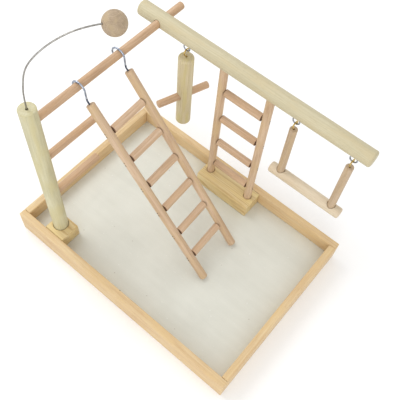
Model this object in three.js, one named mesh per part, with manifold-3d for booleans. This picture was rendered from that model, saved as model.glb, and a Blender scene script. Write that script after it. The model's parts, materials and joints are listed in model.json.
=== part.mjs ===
// A wooden play stand for a parrot: a shallow tray with a post, a high perch, two ladders,
// a swing, a hanging toy and a ball on a springy wire.
// Millimetres, +Z up. X runs along the tray, Y from its front to its back.
// The origin lies on the table, under the middle of the whole stand.

import * as THREE from 'three';
import { mergeVertices } from 'three/addons/utils/BufferGeometryUtils.js';
import Module from 'manifold-3d';

const wasm = await Module();
wasm.setup();

// ---------------------------------------------------------------- driving dimensions

const FIT = 0.3; // gap between pieces that touch
const DEGREE = Math.PI / 180;

// Round wood comes in four stocks.
const THICK = 22.6; // post, main perch, toy body
const MEDIUM = 16.5; // swing bar
const THIN = 12; // ladder rails
const SLIM = 11.2; // perch dowels, rungs, swing arms and the toy's cross dowel

const TRAY_LENGTH = 400;
const TRAY_WIDTH = 286;
const TRAY_HEIGHT = 43;
const TRAY_RAIL = 11; // thickness of the four tray rails
const FLOOR_TOP = 17;
const FLOOR_THICKNESS = 5;
const GROOVE_DEPTH = 5;
const EDGE_EASE = 0.8; // sanded edges of the rails and blocks

const BLOCK_HEIGHT = 25;
const POST_BLOCK = { x0: -155, x1: -119, y0: -131.7, y1: -98.5 };
const LADDER_BLOCK = { x0: -46, x1: 54, y0: 96, y1: 131.7 };
const BLOCK_SOCKET = 15; // depth of the holes that the post and rails stand in

const POST_X = -141.5;
const POST_Y = -112.5;
const POST_TOP = 317.4;
const DOWEL_SEAT = 5; // how far a dowel passes the middle of the post

const PERCH_X0 = -178;
const PERCH_X1 = 189;
const PERCH_Y = 116.7;
const PERCH_Z = 292;
const TOP_DOWEL_END = 156; // passes through the main perch
const MIDDLE_DOWEL = { z: 212, end: -17 };
const LOWER_DOWEL = { z: 128, end: -24 };

const STANDING_X = 3.35; // middle of the standing ladder
const STANDING_SPACING = 75.2;
const STANDING_FIRST_RUNG = 69; // above the table
const STANDING_PITCH = 56;
const STANDING_RUNGS = 4;
const PERCH_SOCKET = 8; // depth of the ladder's holes in the underside of the perch

const LEANING_Y = -1.3; // where the middle of the leaning ladder crosses the top dowel
const LEANING_SLOPE = 51.9 * DEGREE; // above the horizontal
const LEANING_SKEW = 2.5 * DEGREE; // it does not hang quite square
const LEANING_SPACING = 72.2;
const LEANING_LENGTH = 319.2;
const LEANING_DROP = 26.2; // from the top dowel's axis to the rail tops
const LEANING_FIRST_RUNG = 45; // above the foot, along the rail
const LEANING_PITCH = 45.4;
const LEANING_RUNGS = 6;
const LEANING_TOP_EXTRA = 2.5; // the last rung sits a little higher than the pitch

const HOOK_WIRE = 2.6;
const HOOK_LOOP = 10.2; // radius to the middle of the wire
// The loops hang on the dowel, so their middles lie below its axis. The skew also sets them a
// little to either side of it.
const HOOK_ROOM = HOOK_LOOP - HOOK_WIRE / 2 - SLIM / 2 - FIT;
const HOOK_ASIDE = Math.sin(LEANING_SKEW) * LEANING_SPACING / 2;
const HOOK_DROP = Math.sqrt(HOOK_ROOM ** 2 - HOOK_ASIDE ** 2);
const EYE_WIRE = 2;
const EYE_LOOP = 5;
const EYE_NECK = 4; // from the loop to the wood
const PERCH_EYE_SCREW = 12; // length inside the perch
const ARM_EYE_SCREW = 11;
const HOOK_SCREW = 16;

const SWING_X = 124.1;
const SWING_SPACING = 85.2;
const SWING_BAR_LENGTH = 118;
const SWING_BAR_DROP = 112.4; // from the pivot to the axis of the bar
const ARM_SEAT = 9.5; // how deep the arms stand in the bar

const TOY_X = -98;
const TOY_LENGTH = 137;
const TOY_DOWEL_LENGTH = 84;
const TOY_DOWEL_DROP = 77; // from the top of the toy to its cross dowel
const TOY_DOWEL_HEADING = 70 * DEGREE;
const TOY_DOWEL_SHIFT = -2; // the cross dowel is not quite centred

const SPRING_WIRE = 2;
const SPRING_SEAT = 3; // depth of the wire's seat in the post
const SPRING_HEADING = 62 * DEGREE;
const BALL_DIAMETER = 28.6;
const BALL_OUT = 109.5; // ball from the post, across
const BALL_UP = 95; // and above it
const BALL_HOLE = 9;
const BALL_FLAT = 8; // diameter of the flat round the hole

const SCREW_DIAMETER = 3.5;
const SCREW_HEAD = 7;
const SCREW_POINT = 3;

// ---------------------------------------------------------------- finishes

function finish(color, roughness, metalness = 0) {
  return { color, roughness, metalness };
}

const HONEY_PINE = finish(0xdcbf95, 0.6);
const YELLOW_PINE = finish(0xdfc08a, 0.6);
const PALE_WOOD = finish(0xdfd6b6, 0.6);
const TAN_WOOD = finish(0xd6b18c, 0.6);
const PINK_WOOD = finish(0xdcb999, 0.6);
const BALL_WOOD = finish(0xb39a80, 0.65);
const FLOOR_BOARD = finish(0xdcd6c8, 0.55);
const STEEL = finish(0xaab0b8, 0.3, 1);
const BRASS = finish(0xc9a860, 0.3, 1);

// ---------------------------------------------------------------- making solids

function toSolid(geometry) {
  const bare = geometry.clone();
  bare.deleteAttribute('normal');
  bare.deleteAttribute('uv');
  const merged = mergeVertices(bare, 1e-4);
  return new wasm.Manifold(new wasm.Mesh({
    numProp: 3,
    vertProperties: new Float32Array(merged.attributes.position.array),
    triVerts: new Uint32Array(merged.index.array),
  }));
}

function toGeometry(solid) {
  const mesh = solid.getMesh();
  const geometry = new THREE.BufferGeometry();
  geometry.setAttribute('position', new THREE.BufferAttribute(mesh.vertProperties, 3));
  geometry.setIndex(new THREE.BufferAttribute(mesh.triVerts, 1));
  const faceted = geometry.toNonIndexed();
  faceted.computeVertexNormals();
  return faceted;
}

// The first geometry with all the others cut out of it.
function cut(geometry, ...holes) {
  let solid = toSolid(geometry);
  for (const hole of holes) {
    solid = solid.subtract(toSolid(hole));
  }
  return toGeometry(solid);
}

function piece(name, geometry, look) {
  const material = new THREE.MeshStandardMaterial(look);
  const mesh = new THREE.Mesh(geometry, material);
  mesh.name = name;
  return mesh;
}

// Turned round +Z: the profile is a list of [radius, height] from the axis to the axis.
function turned(profile, sides) {
  const points = profile.map(([radius, height]) => new THREE.Vector2(radius, height));
  return new THREE.LatheGeometry(points, sides).rotateX(Math.PI / 2);
}

function sidesFor(diameter) {
  return diameter > 15 ? 32 : 20;
}

// A round stick standing on the origin, with chamfered ends.
function dowel(diameter, length, chamfer) {
  const radius = diameter / 2;
  return turned([
    [0, 0],
    [radius - chamfer, 0],
    [radius, chamfer],
    [radius, length - chamfer],
    [radius - chamfer, length],
    [0, length],
  ], sidesFor(diameter));
}

// The hole that a round stick of this diameter fits, standing on the origin.
function bore(diameter, length) {
  const radius = diameter / 2 + FIT;
  return turned([[0, 0], [radius, 0], [radius, length], [0, length]], sidesFor(diameter));
}

function block(x0, x1, y0, y1, z0, z1) {
  const box = new THREE.BoxGeometry(x1 - x0, y1 - y0, z1 - z0);
  return box.translate((x0 + x1) / 2, (y0 + y1) / 2, (z0 + z1) / 2);
}

// A rectangle with eased corners, drawn round its middle.
function easedRectangle(width, height, ease) {
  const x = width / 2;
  const y = height / 2;
  const shape = new THREE.Shape();
  shape.moveTo(-x + ease, -y);
  shape.lineTo(x - ease, -y);
  shape.lineTo(x, -y + ease);
  shape.lineTo(x, y - ease);
  shape.lineTo(x - ease, y);
  shape.lineTo(-x + ease, y);
  shape.lineTo(-x, y - ease);
  shape.lineTo(-x, -y + ease);
  shape.closePath();
  return shape;
}

// A round wire along a curve that lies in one plane.
function wire(curve, diameter, steps) {
  const section = new THREE.Shape();
  section.absarc(0, 0, diameter / 2, 0, 2 * Math.PI);
  return new THREE.ExtrudeGeometry(section, { extrudePath: curve, steps, curveSegments: 3 });
}

// ---------------------------------------------------------------- screw eyes and hooks

// An eye or hook in the YZ plane, its loop centred on the origin and its thread pointing down.
// Angles run from the foot of the loop, over its -Y side, to where the wire ends.
function screwLoop({ loop, gauge, neck, thread, start, end, steps }) {
  const points = [];
  const foot = -loop - neck;
  points.push(new THREE.Vector3(0, 0, foot - thread));
  points.push(new THREE.Vector3(0, 0, foot - thread / 2));
  points.push(new THREE.Vector3(0, 0, foot));
  const turn = 15 * DEGREE;
  const count = Math.round((end - start) / turn);
  for (let i = 0; i <= count; i += 1) {
    const angle = start + (end - start) * i / count;
    points.push(new THREE.Vector3(0, -loop * Math.sin(angle), -loop * Math.cos(angle)));
  }
  const curve = new THREE.CatmullRomCurve3(points, false, 'centripetal');
  return wire(curve, gauge, steps);
}

function screwEye(thread) {
  return screwLoop({
    loop: EYE_LOOP,
    gauge: EYE_WIRE,
    neck: EYE_NECK,
    thread,
    start: 38 * DEGREE,
    end: 315 * DEGREE,
    steps: 34,
  });
}

// The middle of a hook's loop from the dowel's axis, in the ladder's own frame.
const HOOK_SLACK = {
  y: HOOK_DROP * Math.cos(LEANING_SLOPE),
  z: HOOK_DROP * Math.sin(LEANING_SLOPE),
};

function ladderHook() {
  return screwLoop({
    loop: HOOK_LOOP,
    gauge: HOOK_WIRE,
    neck: LEANING_DROP - HOOK_LOOP - HOOK_SLACK.z,
    thread: HOOK_SCREW,
    start: 45 * DEGREE,
    end: 262 * DEGREE,
    steps: 36,
  });
}

// An eye hangs in the loop above it, wire on wire. The pivot is the middle of the lower wire
// of the fixed loop.
const PIVOT_TO_FIXED_LOOP = EYE_LOOP;
const PIVOT_TO_HUNG_LOOP = EYE_LOOP - EYE_WIRE - FIT;
const EYE_REACH = EYE_LOOP + EYE_NECK; // from the middle of a loop to the wood
const PIVOT_Z = PERCH_Z - THICK / 2 - EYE_REACH - PIVOT_TO_FIXED_LOOP;
const PIVOT_TO_WOOD = PIVOT_TO_HUNG_LOOP + EYE_REACH; // top of a hung piece below its pivot

// ---------------------------------------------------------------- tray

const PANEL_X = TRAY_LENGTH / 2 - TRAY_RAIL + GROOVE_DEPTH;
const PANEL_Y = TRAY_WIDTH / 2 - TRAY_RAIL + GROOVE_DEPTH;
const FLOOR_UNDER = FLOOR_TOP - FLOOR_THICKNESS;

// Wood screws up through the floor, their heads sunk in its underside.
const SCREWS = [
  { name: 'post_screw', x: POST_X, y: POST_Y, length: 35 },
  { name: 'post_block_screw', x: -124.5, y: -122.5, length: 20 },
  { name: 'ladder_block_screw_left', x: -15, y: 114, length: 20 },
  { name: 'ladder_block_screw_right', x: 23, y: 114, length: 20 },
];

function screw({ x, y, length }, grow) {
  const head = SCREW_HEAD / 2 + grow;
  const shank = SCREW_DIAMETER / 2 + grow;
  const base = FLOOR_UNDER - grow;
  const tip = FLOOR_UNDER + length + grow;
  const profile = [
    [0, base],
    [head, base],
    [shank, FLOOR_UNDER + (SCREW_HEAD - SCREW_DIAMETER) / 2],
    [shank, tip - SCREW_POINT],
    [0, tip],
  ];
  return turned(profile, 12).translate(x, y, 0);
}

function screwHoles() {
  return SCREWS.map((place) => screw(place, FIT));
}

function makeTray() {
  const tray = new THREE.Group();

  // The floor panel stands in a stopped groove in all four rails.
  const groove = block(
    -PANEL_X - FIT, PANEL_X + FIT,
    -PANEL_Y - FIT, PANEL_Y + FIT,
    FLOOR_UNDER - FIT, FLOOR_TOP + FIT,
  );
  const floor = block(-PANEL_X, PANEL_X, -PANEL_Y, PANEL_Y, FLOOR_UNDER, FLOOR_TOP);
  tray.add(piece('tray_floor', cut(floor, ...screwHoles()), FLOOR_BOARD));

  // The front and back rails run the whole length and the side rails butt between them.
  const section = easedRectangle(TRAY_RAIL, TRAY_HEIGHT, EDGE_EASE);
  const sideLength = TRAY_WIDTH - 2 * TRAY_RAIL - 2 * FIT;
  const long = new THREE.ExtrudeGeometry(section, { depth: TRAY_LENGTH, bevelEnabled: false });
  long.rotateX(Math.PI / 2).rotateZ(Math.PI / 2);
  const short = new THREE.ExtrudeGeometry(section, { depth: sideLength, bevelEnabled: false });
  short.rotateX(Math.PI / 2);

  const middle = TRAY_HEIGHT / 2;
  const inY = (TRAY_WIDTH - TRAY_RAIL) / 2;
  const inX = (TRAY_LENGTH - TRAY_RAIL) / 2;
  const rails = [
    ['tray_rail_front', long, -TRAY_LENGTH / 2, -inY],
    ['tray_rail_back', long, -TRAY_LENGTH / 2, inY],
    ['tray_rail_left', short, -inX, sideLength / 2],
    ['tray_rail_right', short, inX, sideLength / 2],
  ];
  for (const [name, blank, x, y] of rails) {
    const placed = blank.clone().translate(x, y, middle);
    tray.add(piece(name, cut(placed, groove), HONEY_PINE));
  }

  for (const place of SCREWS) {
    tray.add(piece(place.name, screw(place, 0), STEEL));
  }
  return tray;
}

// ---------------------------------------------------------------- blocks, post and perches

const BLOCK_TOP = FLOOR_TOP + BLOCK_HEIGHT;
const SEAT_Z = BLOCK_TOP - BLOCK_SOCKET; // bottom of the sockets in the blocks

function easedBlock({ x0, x1, y0, y1 }) {
  const outline = easedRectangle(x1 - x0, y1 - y0, 2 * EDGE_EASE);
  const height = BLOCK_HEIGHT - FIT;
  const body = new THREE.ExtrudeGeometry(outline, {
    depth: height - EDGE_EASE,
    bevelEnabled: true,
    bevelThickness: EDGE_EASE,
    bevelSize: EDGE_EASE,
    bevelOffset: -EDGE_EASE,
    bevelSegments: 1,
  });
  const bottom = block(x0 - x1, x1 - x0, y0 - y1, y1 - y0, -2 * EDGE_EASE, 0);
  return cut(body, bottom).translate((x0 + x1) / 2, (y0 + y1) / 2, FLOOR_TOP + FIT);
}

function makeBlocks() {
  const blocks = new THREE.Group();
  const postSocket = bore(THICK, BLOCK_HEIGHT).translate(POST_X, POST_Y, SEAT_Z);
  const postBlock = cut(easedBlock(POST_BLOCK), postSocket, ...screwHoles());
  blocks.add(piece('post_base_block', postBlock, YELLOW_PINE));

  const railSockets = [-1, 1].map((side) => (
    bore(THIN, BLOCK_HEIGHT).translate(STANDING_X + side * STANDING_SPACING / 2, PERCH_Y, SEAT_Z)
  ));
  const ladderBlock = cut(easedBlock(LADDER_BLOCK), ...railSockets, ...screwHoles());
  blocks.add(piece('ladder_base_block', ladderBlock, YELLOW_PINE));
  return blocks;
}

// Round bars along Y that start inside the post.
const POST_DOWELS = [
  { name: 'top_perch_dowel', z: PERCH_Z, end: TOP_DOWEL_END },
  { name: 'middle_perch_dowel', z: MIDDLE_DOWEL.z, end: MIDDLE_DOWEL.end },
  { name: 'lower_perch_dowel', z: LOWER_DOWEL.z, end: LOWER_DOWEL.end },
];

function alongY(geometry) {
  return geometry.rotateX(-Math.PI / 2);
}

function makePost() {
  const post = new THREE.Group();
  post.position.set(POST_X, POST_Y, 0);

  const foot = SEAT_Z + FIT;
  const blank = dowel(THICK, POST_TOP - foot, 1.6).translate(0, 0, foot);
  const sockets = POST_DOWELS.map(({ z }) => (
    alongY(bore(SLIM, THICK)).translate(0, -DOWEL_SEAT - FIT, z)
  ));
  const mouth = SPRING_WIRE / 2 + 3 * FIT;
  const wireSeat = turned([
    [0, 0],
    [SPRING_WIRE / 2 + FIT, 0],
    [mouth, SPRING_SEAT + FIT],
    [mouth, 2 * SPRING_SEAT],
    [0, 2 * SPRING_SEAT],
  ], 12).translate(0, 0, POST_TOP - SPRING_SEAT - FIT);
  const screwHoleHere = screwHoles()[0].translate(-POST_X, -POST_Y, 0);
  post.add(piece('post', cut(blank, screwHoleHere, wireSeat, ...sockets), PALE_WOOD));

  for (const { name, z, end } of POST_DOWELS) {
    const stick = alongY(dowel(SLIM, end - POST_Y + DOWEL_SEAT, 0.8));
    const mesh = piece(name, stick, TAN_WOOD);
    mesh.position.set(0, -DOWEL_SEAT, z);
    post.add(mesh);
  }
  return post;
}

// Steel eyes under the main perch, their loops in line with it.
const EYE_PLACES = [
  { name: 'toy_perch_eye', x: TOY_X },
  { name: 'swing_perch_eye_left', x: SWING_X - SWING_SPACING / 2 },
  { name: 'swing_perch_eye_right', x: SWING_X + SWING_SPACING / 2 },
];

function makeMainPerch() {
  const length = PERCH_X1 - PERCH_X0;
  const blank = dowel(THICK, length, 2).rotateY(Math.PI / 2).translate(PERCH_X0, 0, 0);
  const dowelHole = alongY(bore(SLIM, 2 * THICK)).translate(POST_X, -THICK, 0);
  const under = -THICK / 2;
  const railSockets = [-1, 1].map((side) => (
    bore(THIN, THICK)
      .translate(STANDING_X + side * STANDING_SPACING / 2, 0, under + PERCH_SOCKET - THICK)
  ));
  const eyeHoles = EYE_PLACES.map(({ x }) => (
    bore(EYE_WIRE, 2 * PERCH_EYE_SCREW)
      .translate(x, 0, under + FIT - PERCH_EYE_SCREW)
  ));
  const perch = piece('main_perch', cut(blank, dowelHole, ...railSockets, ...eyeHoles), PALE_WOOD);
  perch.position.set(0, PERCH_Y, PERCH_Z);
  return perch;
}

function makePerchEyes() {
  const eyes = new THREE.Group();
  for (const { name, x } of EYE_PLACES) {
    const eye = piece(name, screwEye(PERCH_EYE_SCREW), STEEL);
    eye.rotation.set(Math.PI, 0, Math.PI / 2);
    eye.position.set(x, PERCH_Y, PIVOT_Z + PIVOT_TO_FIXED_LOOP);
    eyes.add(eye);
  }
  return eyes;
}

// ---------------------------------------------------------------- ladders

// Two rails along Z from `foot` to `top`, `spacing` apart along X. The rungs are cut square
// and stand between the rails, where nails hold them.
function makeLadder({ prefix, spacing, foot, top, rungHeights, railHoles }) {
  const ladder = new THREE.Group();
  for (const [side, label] of [[-1, 'left'], [1, 'right']]) {
    const blank = dowel(THIN, top - foot, 1.5).translate(0, 0, foot);
    const rail = piece(`${prefix}_rail_${label}`, cut(blank, ...railHoles), TAN_WOOD);
    rail.position.x = side * spacing / 2;
    ladder.add(rail);
  }
  rungHeights.forEach((height, index) => {
    const length = spacing - THIN - 2 * FIT;
    const rung = piece(`${prefix}_rung_${index + 1}`, dowel(SLIM, length, 0.4), PINK_WOOD);
    rung.rotation.y = Math.PI / 2;
    rung.position.set(-length / 2, 0, height);
    ladder.add(rung);
  });
  return ladder;
}

function makeStandingLadder() {
  const rungHeights = [];
  for (let i = 0; i < STANDING_RUNGS; i += 1) {
    rungHeights.push(STANDING_FIRST_RUNG + i * STANDING_PITCH);
  }
  const ladder = makeLadder({
    prefix: 'standing_ladder',
    spacing: STANDING_SPACING,
    foot: SEAT_Z + FIT,
    top: PERCH_Z - THICK / 2 + PERCH_SOCKET - FIT,
    rungHeights,
    railHoles: [],
  });
  ladder.position.set(STANDING_X, PERCH_Y, 0);
  return ladder;
}

// Built round the axis of the top dowel, which the hooks close over, and hung from it.
function makeLeaningLadder() {
  const foot = -LEANING_DROP - LEANING_LENGTH;
  const rungHeights = [];
  for (let i = 0; i < LEANING_RUNGS; i += 1) {
    const extra = i === LEANING_RUNGS - 1 ? LEANING_TOP_EXTRA : 0;
    rungHeights.push(foot + LEANING_FIRST_RUNG + i * LEANING_PITCH + extra);
  }
  const hookHole = bore(HOOK_WIRE, 2 * HOOK_SCREW)
    .translate(0, HOOK_SLACK.y, -LEANING_DROP - HOOK_SCREW - FIT);
  const ladder = makeLadder({
    prefix: 'leaning_ladder',
    spacing: LEANING_SPACING,
    foot,
    top: -LEANING_DROP,
    rungHeights,
    railHoles: [hookHole],
  });
  for (const [side, label] of [[-1, 'left'], [1, 'right']]) {
    const hook = piece(`leaning_ladder_hook_${label}`, ladderHook(), STEEL);
    hook.position.set(side * LEANING_SPACING / 2, HOOK_SLACK.y, -HOOK_SLACK.z);
    ladder.add(hook);
  }

  ladder.rotation.z = Math.PI / 2;
  const leaning = new THREE.Group();
  leaning.add(ladder);
  leaning.rotation.y = LEANING_SLOPE - Math.PI / 2;
  const hung = new THREE.Group();
  hung.add(leaning);
  hung.rotation.z = LEANING_SKEW;
  hung.position.set(POST_X, LEANING_Y, PERCH_Z);
  return hung;
}

// ---------------------------------------------------------------- swing and hanging toy

function hungEye(name) {
  const eye = piece(name, screwEye(ARM_EYE_SCREW), BRASS);
  eye.position.z = -PIVOT_TO_HUNG_LOOP;
  return eye;
}

function eyeHole() {
  return bore(EYE_WIRE, 2 * ARM_EYE_SCREW)
    .translate(0, 0, -PIVOT_TO_WOOD - ARM_EYE_SCREW - FIT);
}

function makeSwing() {
  const swing = new THREE.Group();
  swing.position.set(SWING_X, PERCH_Y, PIVOT_Z);

  const armFoot = -SWING_BAR_DROP + MEDIUM / 2 - ARM_SEAT + FIT;
  const armLength = -PIVOT_TO_WOOD - armFoot;
  const sockets = [];
  for (const [side, label] of [[-1, 'left'], [1, 'right']]) {
    const x = side * SWING_SPACING / 2;
    const blank = dowel(SLIM, armLength, 1).translate(0, 0, armFoot);
    const arm = piece(`swing_arm_${label}`, cut(blank, eyeHole()), TAN_WOOD);
    arm.position.x = x;
    swing.add(arm);
    const eye = hungEye(`swing_arm_eye_${label}`);
    eye.position.x = x;
    swing.add(eye);
    sockets.push(bore(SLIM, MEDIUM).translate(x, 0, MEDIUM / 2 - ARM_SEAT));
  }

  const blank = dowel(MEDIUM, SWING_BAR_LENGTH, 1.5)
    .rotateY(Math.PI / 2)
    .translate(-SWING_BAR_LENGTH / 2, 0, 0);
  const bar = piece('swing_bar', cut(blank, ...sockets), PALE_WOOD);
  bar.position.z = -SWING_BAR_DROP;
  swing.add(bar);
  return swing;
}

function makeToy() {
  const toy = new THREE.Group();
  toy.position.set(TOY_X, PERCH_Y, PIVOT_Z);
  const foot = -PIVOT_TO_WOOD - TOY_LENGTH;
  const dowelZ = -PIVOT_TO_WOOD - TOY_DOWEL_DROP;

  const blank = dowel(THICK, TOY_LENGTH, 2.5).translate(0, 0, foot);
  const crossHole = bore(SLIM, 2 * THICK)
    .translate(0, 0, -THICK)
    .rotateY(Math.PI / 2)
    .rotateZ(TOY_DOWEL_HEADING)
    .translate(0, 0, dowelZ);
  toy.add(piece('toy_body', cut(blank, crossHole, eyeHole()), PALE_WOOD));
  toy.add(hungEye('toy_body_eye'));

  const stick = dowel(SLIM, TOY_DOWEL_LENGTH, 0.8)
    .translate(0, 0, TOY_DOWEL_SHIFT - TOY_DOWEL_LENGTH / 2)
    .rotateY(Math.PI / 2)
    .rotateZ(TOY_DOWEL_HEADING);
  const cross = piece('toy_cross_dowel', stick, TAN_WOOD);
  cross.position.z = dowelZ;
  toy.add(cross);
  return toy;
}

// ---------------------------------------------------------------- ball on a springy wire

// Built in the XZ plane round the top of the post, then turned to its heading.
function makeSpringBall() {
  const spring = new THREE.Group();
  spring.position.set(POST_X, POST_Y, POST_TOP);
  spring.rotation.z = SPRING_HEADING;

  // Nearly upright at first, then over in one bend to the ball: [out, up].
  const bends = [[0, -SPRING_SEAT], [0, 0], [2.4, 34], [11.7, 64.3], [33, 84.5], [63, 97], [94, 98.4]];
  const points = bends.map(([out, up]) => new THREE.Vector3(out, 0, up));
  const centre = new THREE.Vector3(BALL_OUT, 0, BALL_UP);
  const last = points[points.length - 1];
  const inward = centre.clone().sub(last).normalize();
  const radius = BALL_DIAMETER / 2;
  points.push(centre.clone().addScaledVector(inward, BALL_HOLE - radius));
  const curve = new THREE.CatmullRomCurve3(points, false, 'centripetal');
  spring.add(piece('spring_wire', wire(curve, SPRING_WIRE, 44), STEEL));

  // The ball is drilled along -Z of its own frame, where it also has a small flat.
  const flatZ = -Math.sqrt(radius ** 2 - (BALL_FLAT / 2) ** 2);
  const profile = [[0, flatZ], [BALL_FLAT / 2, flatZ]];
  const rings = 11;
  const first = Math.acos(-flatZ / radius);
  for (let i = 1; i < rings; i += 1) {
    const angle = first + (Math.PI - first) * i / rings;
    profile.push([radius * Math.sin(angle), -radius * Math.cos(angle)]);
  }
  profile.push([0, radius]);
  const hole = bore(SPRING_WIRE, 2 * BALL_HOLE).translate(0, 0, -radius - BALL_HOLE + FIT);
  const ball = piece('wooden_ball', cut(turned(profile, 22), hole), BALL_WOOD);
  ball.quaternion.setFromUnitVectors(new THREE.Vector3(0, 0, 1), inward);
  ball.position.copy(centre);
  spring.add(ball);
  return spring;
}

// ---------------------------------------------------------------- assembly

const stand = new THREE.Group();
const centred = new THREE.Group();
// The top dowel reaches past the tray, so the tray moves forward by half of that.
centred.position.y = -(TOP_DOWEL_END - TRAY_WIDTH / 2) / 2;
centred.add(makeTray());
centred.add(makeBlocks());
centred.add(makePost());
centred.add(makeMainPerch());
centred.add(makePerchEyes());
centred.add(makeStandingLadder());
centred.add(makeLeaningLadder());
centred.add(makeSwing());
centred.add(makeToy());
centred.add(makeSpringBall());
stand.add(centred);

export default stand;
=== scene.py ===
"""A wooden play stand for a parrot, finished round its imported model.

Metres, +Z up. X runs along the tray and Y from its front to its back. Each piece is made in a
frame of its own, with +Z along its grain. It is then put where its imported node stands, and its
mesh keeps where each corner was in that frame, for the grain to follow.
"""

import functools
import json
import math

import bmesh
import bpy
import numpy as np
from mathutils import Matrix, Vector, noise

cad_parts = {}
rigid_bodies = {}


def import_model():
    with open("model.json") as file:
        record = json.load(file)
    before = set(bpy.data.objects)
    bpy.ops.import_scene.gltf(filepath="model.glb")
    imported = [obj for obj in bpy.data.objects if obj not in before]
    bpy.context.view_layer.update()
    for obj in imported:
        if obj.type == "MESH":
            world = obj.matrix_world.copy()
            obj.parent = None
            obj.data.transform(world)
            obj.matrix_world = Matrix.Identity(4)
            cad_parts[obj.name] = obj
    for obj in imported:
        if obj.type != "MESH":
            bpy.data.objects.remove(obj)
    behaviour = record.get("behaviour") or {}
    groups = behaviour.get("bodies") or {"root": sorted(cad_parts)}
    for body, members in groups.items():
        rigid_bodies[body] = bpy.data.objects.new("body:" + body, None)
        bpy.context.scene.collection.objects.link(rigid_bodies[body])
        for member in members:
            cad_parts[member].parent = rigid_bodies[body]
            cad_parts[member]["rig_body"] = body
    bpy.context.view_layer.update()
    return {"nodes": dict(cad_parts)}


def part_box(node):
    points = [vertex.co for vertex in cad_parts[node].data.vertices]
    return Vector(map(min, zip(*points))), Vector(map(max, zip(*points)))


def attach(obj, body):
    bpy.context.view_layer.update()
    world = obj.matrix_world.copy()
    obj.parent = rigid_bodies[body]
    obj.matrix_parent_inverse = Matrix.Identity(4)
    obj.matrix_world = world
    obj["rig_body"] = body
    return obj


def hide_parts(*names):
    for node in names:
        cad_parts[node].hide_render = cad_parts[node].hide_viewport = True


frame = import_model()

NODES = frame["nodes"]
SCENE = bpy.context.scene
SCENE.view_settings.view_transform = "Standard"
MM = 0.001

# ---------------------------------------------------------------- camera, light and floor

CAMERA_PLACE = (0.2589, -0.3431, 0.8651)
CAMERA_TURN = (30.042, -3.376, 39.956)
CAMERA_SENSOR = 36
CAMERA_LENS = 54.388
WORLD_LIGHT = 0.86
KEY_LAMP = {"place": (-0.9, -0.05, 1.35), "target": (0, 0, 0.1), "size": 0.8, "power": 7.4}
FILL_LAMP = {"place": (0.9, -1.4, 0.7), "target": (0, 0, 0.12), "size": 1.4, "power": 8}
FLOOR_HALF = 4.0
FLOOR_WHITE = (0.9, 0.9, 0.9, 1)
LIFT = (0.1, 0.3)  # what the table gives off to the eye alone, near the stand and far off
LIFT_REACH = (0.35, 1.1)  # how far from the stand's middle near ends and far off begins


def make_camera():
    data = bpy.data.cameras.new("camera")
    data.sensor_width = CAMERA_SENSOR
    data.lens = CAMERA_LENS
    made = bpy.data.objects.new("camera", data)
    made.location = CAMERA_PLACE
    made.rotation_euler = [math.radians(turn) for turn in CAMERA_TURN]
    SCENE.collection.objects.link(made)
    SCENE.camera = made


def make_lamp(name, place, target, size, power):
    data = bpy.data.lights.new(name, "AREA")
    data.shape = "DISK"
    data.size = size
    data.energy = power
    made = bpy.data.objects.new(name, data)
    made.location = place
    made.rotation_euler = (Vector(target) - Vector(place)).to_track_quat("-Z", "Y").to_euler()
    SCENE.collection.objects.link(made)


def seen_directly(tree):
    """1 where a ray comes from the camera, a mirror or glass, and 0 where it lights something."""
    path = tree.nodes.new("ShaderNodeLightPath")
    total = path.outputs["Is Camera Ray"]
    for kind in ("Is Glossy Ray", "Is Transmission Ray"):
        add = tree.nodes.new("ShaderNodeMath")
        add.operation = "MAXIMUM"
        tree.links.new(total, add.inputs[0])
        tree.links.new(path.outputs[kind], add.inputs[1])
        total = add.outputs[0]
    return total


def make_world(light):
    """An even white studio: light is what falls on the stand, and the eye sees full white."""
    world = bpy.data.worlds.new("studio")
    world.use_nodes = True
    tree = world.node_tree
    background = tree.nodes["Background"]
    background.inputs["Color"].default_value = (1, 1, 1, 1)
    strength = tree.nodes.new("ShaderNodeMapRange")
    strength.inputs["To Min"].default_value = light
    strength.inputs["To Max"].default_value = 1
    tree.links.new(seen_directly(tree), strength.inputs["Value"])
    tree.links.new(strength.outputs[0], background.inputs["Strength"])
    SCENE.world = world


def make_floor():
    """A white table that keeps the stand's shadow, and stays white out of the lamps' reach."""
    shape = bmesh.new()
    bmesh.ops.create_grid(shape, x_segments=8, y_segments=8, size=FLOOR_HALF)
    mesh = bpy.data.meshes.new("studio_floor")
    shape.to_mesh(mesh)
    shape.free()
    made = bpy.data.objects.new("studio_floor", mesh)
    SCENE.collection.objects.link(made)
    material = bpy.data.materials.new("studio_white")
    material.use_nodes = True
    tree = material.node_tree
    shader = tree.nodes["Principled BSDF"]
    shader.inputs["Base Color"].default_value = FLOOR_WHITE
    shader.inputs["Roughness"].default_value = 1
    shader.inputs["Specular IOR Level"].default_value = 0
    shader.inputs["Emission Color"].default_value = (1, 1, 1, 1)
    place = tree.nodes.new("ShaderNodeTexCoord")
    away = tree.nodes.new("ShaderNodeVectorMath")
    away.operation = "LENGTH"
    tree.links.new(place.outputs["Object"], away.inputs[0])
    lift = tree.nodes.new("ShaderNodeMapRange")
    lift.interpolation_type = "SMOOTHSTEP"
    for name, value in zip(("From Min", "From Max", "To Min", "To Max"), (*LIFT_REACH, *LIFT)):
        lift.inputs[name].default_value = value
    tree.links.new(away.outputs["Value"], lift.inputs["Value"])
    strength = tree.nodes.new("ShaderNodeMath")
    strength.operation = "MULTIPLY"
    tree.links.new(lift.outputs[0], strength.inputs[1])
    tree.links.new(seen_directly(tree), strength.inputs[0])
    tree.links.new(strength.outputs[0], shader.inputs["Emission Strength"])
    mesh.materials.append(material)


# ---------------------------------------------------------------- materials


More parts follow.
